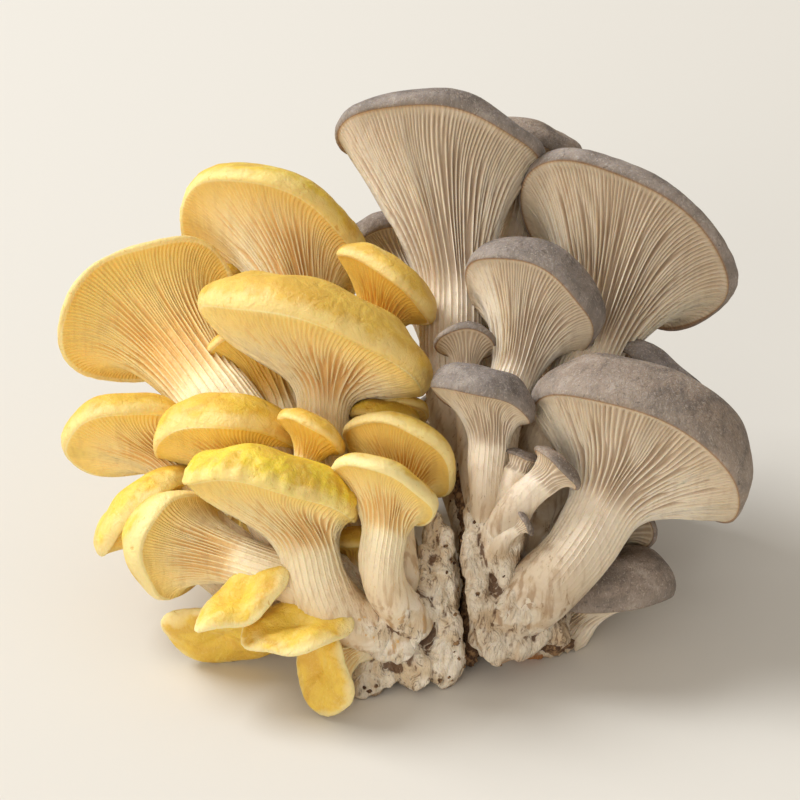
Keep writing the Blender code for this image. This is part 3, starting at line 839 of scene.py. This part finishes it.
def flesh_material(name, stem, gill, rim, deep, stain_and_shade, edge, foot):
    """Stem and gills: cream flesh, painted shade between the gills and down the stem, the butt's stains at
    the foot.
    """
    r = Recipe(name, 0.55, 0.25, (1.5, 0.9, 0.4))
    along, groove, blush = r.kept("along"), r.kept("groove"), r.kept("blush")
    patches, streaks = r.patches(), r.noise(0.5, 4, stretch=(1, 1, 0.15))
    # The stem colour is darker than the gills': the stems' own cream, darkened further as painted shade
    # under the caps.
    colour = r.mix(r.span(along, 0.5, 1.2), stem, gill)
    colour = r.mix(r.span(along, 1.5, 2.0, 0.0, 0.8), colour, rim)
    colour = r.mix(r.product(blush, r.span(along, 0.9, 1.5)), colour, rim)
    # Painted shade between the gills: the deeper a point lies between two gills, the more it takes the deep
    # colour.
    colour = r.mix(r.span(groove, 0.25, 0.95, 0.0, 0.6), colour, deep)
    colour = r.mix(r.span(along, 1.985, 2.0, 0.0, 0.8), colour, edge)
    low = r.span(along, 0.75, 0.15)
    colour = r.mix(low, colour, r.mix(r.span(patches, 0.4, 0.66, 0.0, 0.85), *foot))
    # Brown streaks growing down the stem: partly the stems' own staining, partly painted shade under the
    # caps.
    stain_and_shade_mask = r.product(r.span(along, 1.0, 0.3, 0.15, 0.75), r.span(streaks, 0.48, 0.66))
    colour = r.mix(stain_and_shade_mask, colour, stain_and_shade)
    nicks = r.span(r.noise(0.6, 5, distortion=1.5, stretch=(1, 1, 0.4)), 0.63, 0.7)
    colour = r.mix(r.product(nicks, r.span(along, 1.1, 0.5, 0.0, 0.8)), colour, deep)
    return r.done(colour, r.bump(streaks, 0.4, r.bump(r.noise(0.9, 4), 0.2)))


def butt_material(name, pale, tan, brown, crust, crust_height):
    """The cut butt: whitish flesh, brown in its hollows (stains and painted shade), cracks, specks and a
    crust below.
    """
    r = Recipe(name, 0.75, 0.15, (1.2, 0.8, 0.4))
    stain = r.kept("stain")
    patches, specks = r.patches(), r.noise(1.1, 3)
    fibres = r.noise(0.55, 6, distortion=0.5, stretch=(1, 1, 0.3))
    strands = r.noise(0.3, 7, distortion=2.0, stretch=(1, 1, 0.35))
    height = r.node("ShaderNodeSeparateXYZ")
    r.links.new(r.place, height.inputs["Vector"])
    colour = r.mix(r.span(patches, 0.4, 0.66, 0.0, 0.85), pale, tan)
    colour = r.mix(r.span(fibres, 0.5, 0.7, 0.0, 0.5), colour, tan)
    # Brown in the hollows: partly staining, partly painted shade
    patchy = r.product(stain, r.span(strands, 0.36, 0.56, 0.2, 1.0))
    colour = r.mix(r.span(patchy, 0.08, 0.6, 0.0, 0.9), colour, brown)
    cracks = r.product(r.span(strands, 0.54, 0.6), r.span(strands, 0.66, 0.6, 0.0, 0.75))
    colour = r.mix(r.product(cracks, r.span(patches, 0.42, 0.56)), colour, brown)
    colour = r.mix(r.span(specks, 0.66, 0.76, 0.0, 0.6), colour, brown)
    low = r.product(r.span(height.outputs["Z"], crust_height, 0.0), r.span(patches, 0.4, 0.55))
    colour = r.mix(low, colour, crust)
    return r.done(colour, r.bump(fibres, 0.9, r.bump(strands, 1.6, r.bump(r.noise(1.2, 5), 0.25))))


def crumb_material():
    """The growing medium: dark brown with lighter patches."""
    r = Recipe("growing_medium", 0.9, 0.0, (1, 1, 1))
    patches = r.noise(0.7, 4)
    dark, light = srgb(84, 58, 38), srgb(160, 126, 88)
    colour = r.mix(r.span(patches, 0.4, 0.65), dark, light)
    return r.done(colour, r.bump(r.noise(1.5, 5), 0.3))


def bunch(prefix, node, mushrooms, lumps, materials):
    """All the pieces that stand for one node of the part."""
    flesh, top, skin = materials
    pieces = []
    for key, m in mushrooms.items():
        obj = mushroom_object(m, f"{prefix}_{key}")
        obj.data.materials.append(flesh)
        obj.data.materials.append(top)
        pieces.append(obj)
    butt = butt_object(f"{prefix}_butt", lumps + KNOBS[prefix], mushrooms)
    butt.data.materials.clear()
    butt.data.materials.append(skin)
    pieces.append(butt)
    for obj in pieces:
        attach(obj, "root")
        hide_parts(node)
    return butt


def golden_bunch():
    """The left bunch. foot is the two colours that its butt and the feet of its stems share."""
    foot = srgb(246, 234, 214), srgb(218, 194, 158)
    top = cap_material(
        "golden_top",
        cool=srgb(242, 212, 60),
        warm=srgb(234, 190, 84),
        pale=srgb(250, 226, 154),
        dark=srgb(216, 166, 60),
        edge=srgb(250, 230, 165),
        felt=0.25,
        margin=0.65,
        roughness=0.5,
    )
    flesh = flesh_material(
        "golden_flesh",
        # The stems' cream, darkened as painted shade under the caps
        stem=srgb(232, 210, 174),
        gill=srgb(252, 236, 198),
        rim=srgb(244, 206, 100),
        # deep: painted shade between the gills, and the colour of the nicks on the stem
        deep=srgb(218, 166, 80),
        # Brown streaks low on the stems: partly staining, partly painted shade under the caps
        stain_and_shade=srgb(180, 138, 88),
        edge=srgb(248, 226, 150),
        foot=foot,
    )
    skin = butt_material(
        "golden_butt", *foot, brown=srgb(108, 74, 46), crust=srgb(150, 115, 80), crust_height=0.003
    )
    return bunch("golden", "golden_bunch", GOLDEN, GOLDEN_BUTT, (flesh, top, skin))


def grey_bunch():
    """The right bunch, made like the golden one."""
    foot = srgb(228, 214, 192), srgb(194, 166, 130)
    top = cap_material(
        "grey_top",
        cool=srgb(134, 124, 118),
        warm=srgb(152, 134, 118),
        pale=srgb(190, 178, 166),
        dark=srgb(94, 84, 76),
        edge=srgb(160, 122, 86),
        felt=0.6,
        margin=0.2,
        roughness=0.8,
    )
    flesh = flesh_material(
        "grey_flesh",
        # The stems' cream, darkened as painted shade under the caps
        stem=srgb(200, 180, 152),
        gill=srgb(250, 236, 214),
        rim=srgb(208, 188, 160),
        # deep: painted shade between the gills, and the colour of the nicks on the stem
        deep=srgb(150, 118, 86),
        # Brown streaks low on the stems: partly staining, partly painted shade under the caps
        stain_and_shade=srgb(156, 122, 86),
        edge=srgb(190, 156, 116),
        foot=foot,
    )
    skin = butt_material(
        "grey_butt", *foot, brown=srgb(100, 68, 42), crust=srgb(178, 116, 60), crust_height=0.011
    )
    return bunch("grey", "grey_bunch", GREY, GREY_BUTT, (flesh, top, skin))


def medium(skins):
    """Growing medium in the crevice between the butts, and crumbs of it on them."""
    material = crumb_material()
    pieces = [medium_object()]
    for skin, side in zip(skins, (1, -1)):

        def inside(v, side=side):
            facing = v.normal.x * side > 0.1
            crevice = facing and abs(v.co.x - CREVICE_ACROSS) < CREVICE_HALF_WIDTH
            return v.normal.y < 0.3 and v.co.z > 0.002 and (crevice or v.co.z < CUT_FACE_HEIGHT)

        name = skin.name + "_crumbs"
        pieces.append(crumbs_object(name, skin, inside, CRUMBS, CRUMB_HALF_SIZES))
    for obj in pieces:
        obj.data.materials.clear()
        obj.data.materials.append(material)
        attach(obj, "root")


def floor():
    """The pale surface that the cluster stands on."""
    mesh = bpy.data.meshes.new("floor")
    corners = [(x * FLOOR_REACH, y * FLOOR_REACH, 0) for x, y in ((-1, -1), (1, -1), (1, 1), (-1, 1))]
    mesh.from_pydata(corners, [], [(0, 1, 2, 3)])
    obj = add_object("floor", mesh)
    r = Recipe("floor", 0.7, 0.0, (1, 1, 1))
    r.shader.inputs["Specular IOR Level"].default_value = 0.2
    obj.data.materials.append(r.done(srgb(*FLOOR_RGB), r.bump(r.noise(0.5, 2), 0.01)))


def lamp(name, place, aim, size, watts, colour):
    """A square lamp at a place, aimed at a point."""
    light = bpy.data.lights.new(name, "AREA")
    light.size, light.energy, light.color = size, watts, colour
    obj = add_object(name, light)
    obj.location = place
    obj.rotation_euler = (Vector(aim) - Vector(place)).to_track_quat("-Z", "Y").to_euler()


def lights():
    """A key light from the upper left, a warm fill from the front and a dim surround."""
    lamp("key", *KEY_LIGHT)
    lamp("fill", *FILL_LIGHT)
    world = bpy.data.worlds.new("studio")
    world.use_nodes = True
    background = world.node_tree.nodes["Background"]
    background.inputs["Color"].default_value = WORLD_COLOUR
    background.inputs["Strength"].default_value = WORLD_STRENGTH
    bpy.context.scene.world = world
    bpy.context.scene.view_settings.view_transform = "Standard"


def camera():
    """Square to the fan, so the photograph's middle shows what it shows there."""
    middle = PHOTO_PIXELS / 2
    across = (middle - ORIGIN_PIXEL[0]) * PIXEL_MM
    up = (ORIGIN_PIXEL[1] - middle) * PIXEL_MM
    data = bpy.data.cameras.new("camera")
    data.sensor_width = SENSOR_MM
    data.lens = SENSOR_MM * CAMERA_AWAY / (PHOTO_PIXELS * PIXEL_MM)
    data.clip_start = 0.01
    obj = add_object("camera", data)
    obj.location = to_world((across, up, CAMERA_AWAY))
    obj.rotation_euler = (math.pi / 2 - FAN_LEAN, 0, 0)
    bpy.context.scene.camera = obj


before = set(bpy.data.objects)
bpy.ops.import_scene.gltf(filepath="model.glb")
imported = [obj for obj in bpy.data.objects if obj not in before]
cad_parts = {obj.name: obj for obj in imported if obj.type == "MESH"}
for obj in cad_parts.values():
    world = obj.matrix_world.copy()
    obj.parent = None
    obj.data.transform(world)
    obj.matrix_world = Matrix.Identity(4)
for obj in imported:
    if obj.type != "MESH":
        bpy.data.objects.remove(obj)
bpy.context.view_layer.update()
camera()
medium((golden_bunch(), grey_bunch()))
floor()
lights()
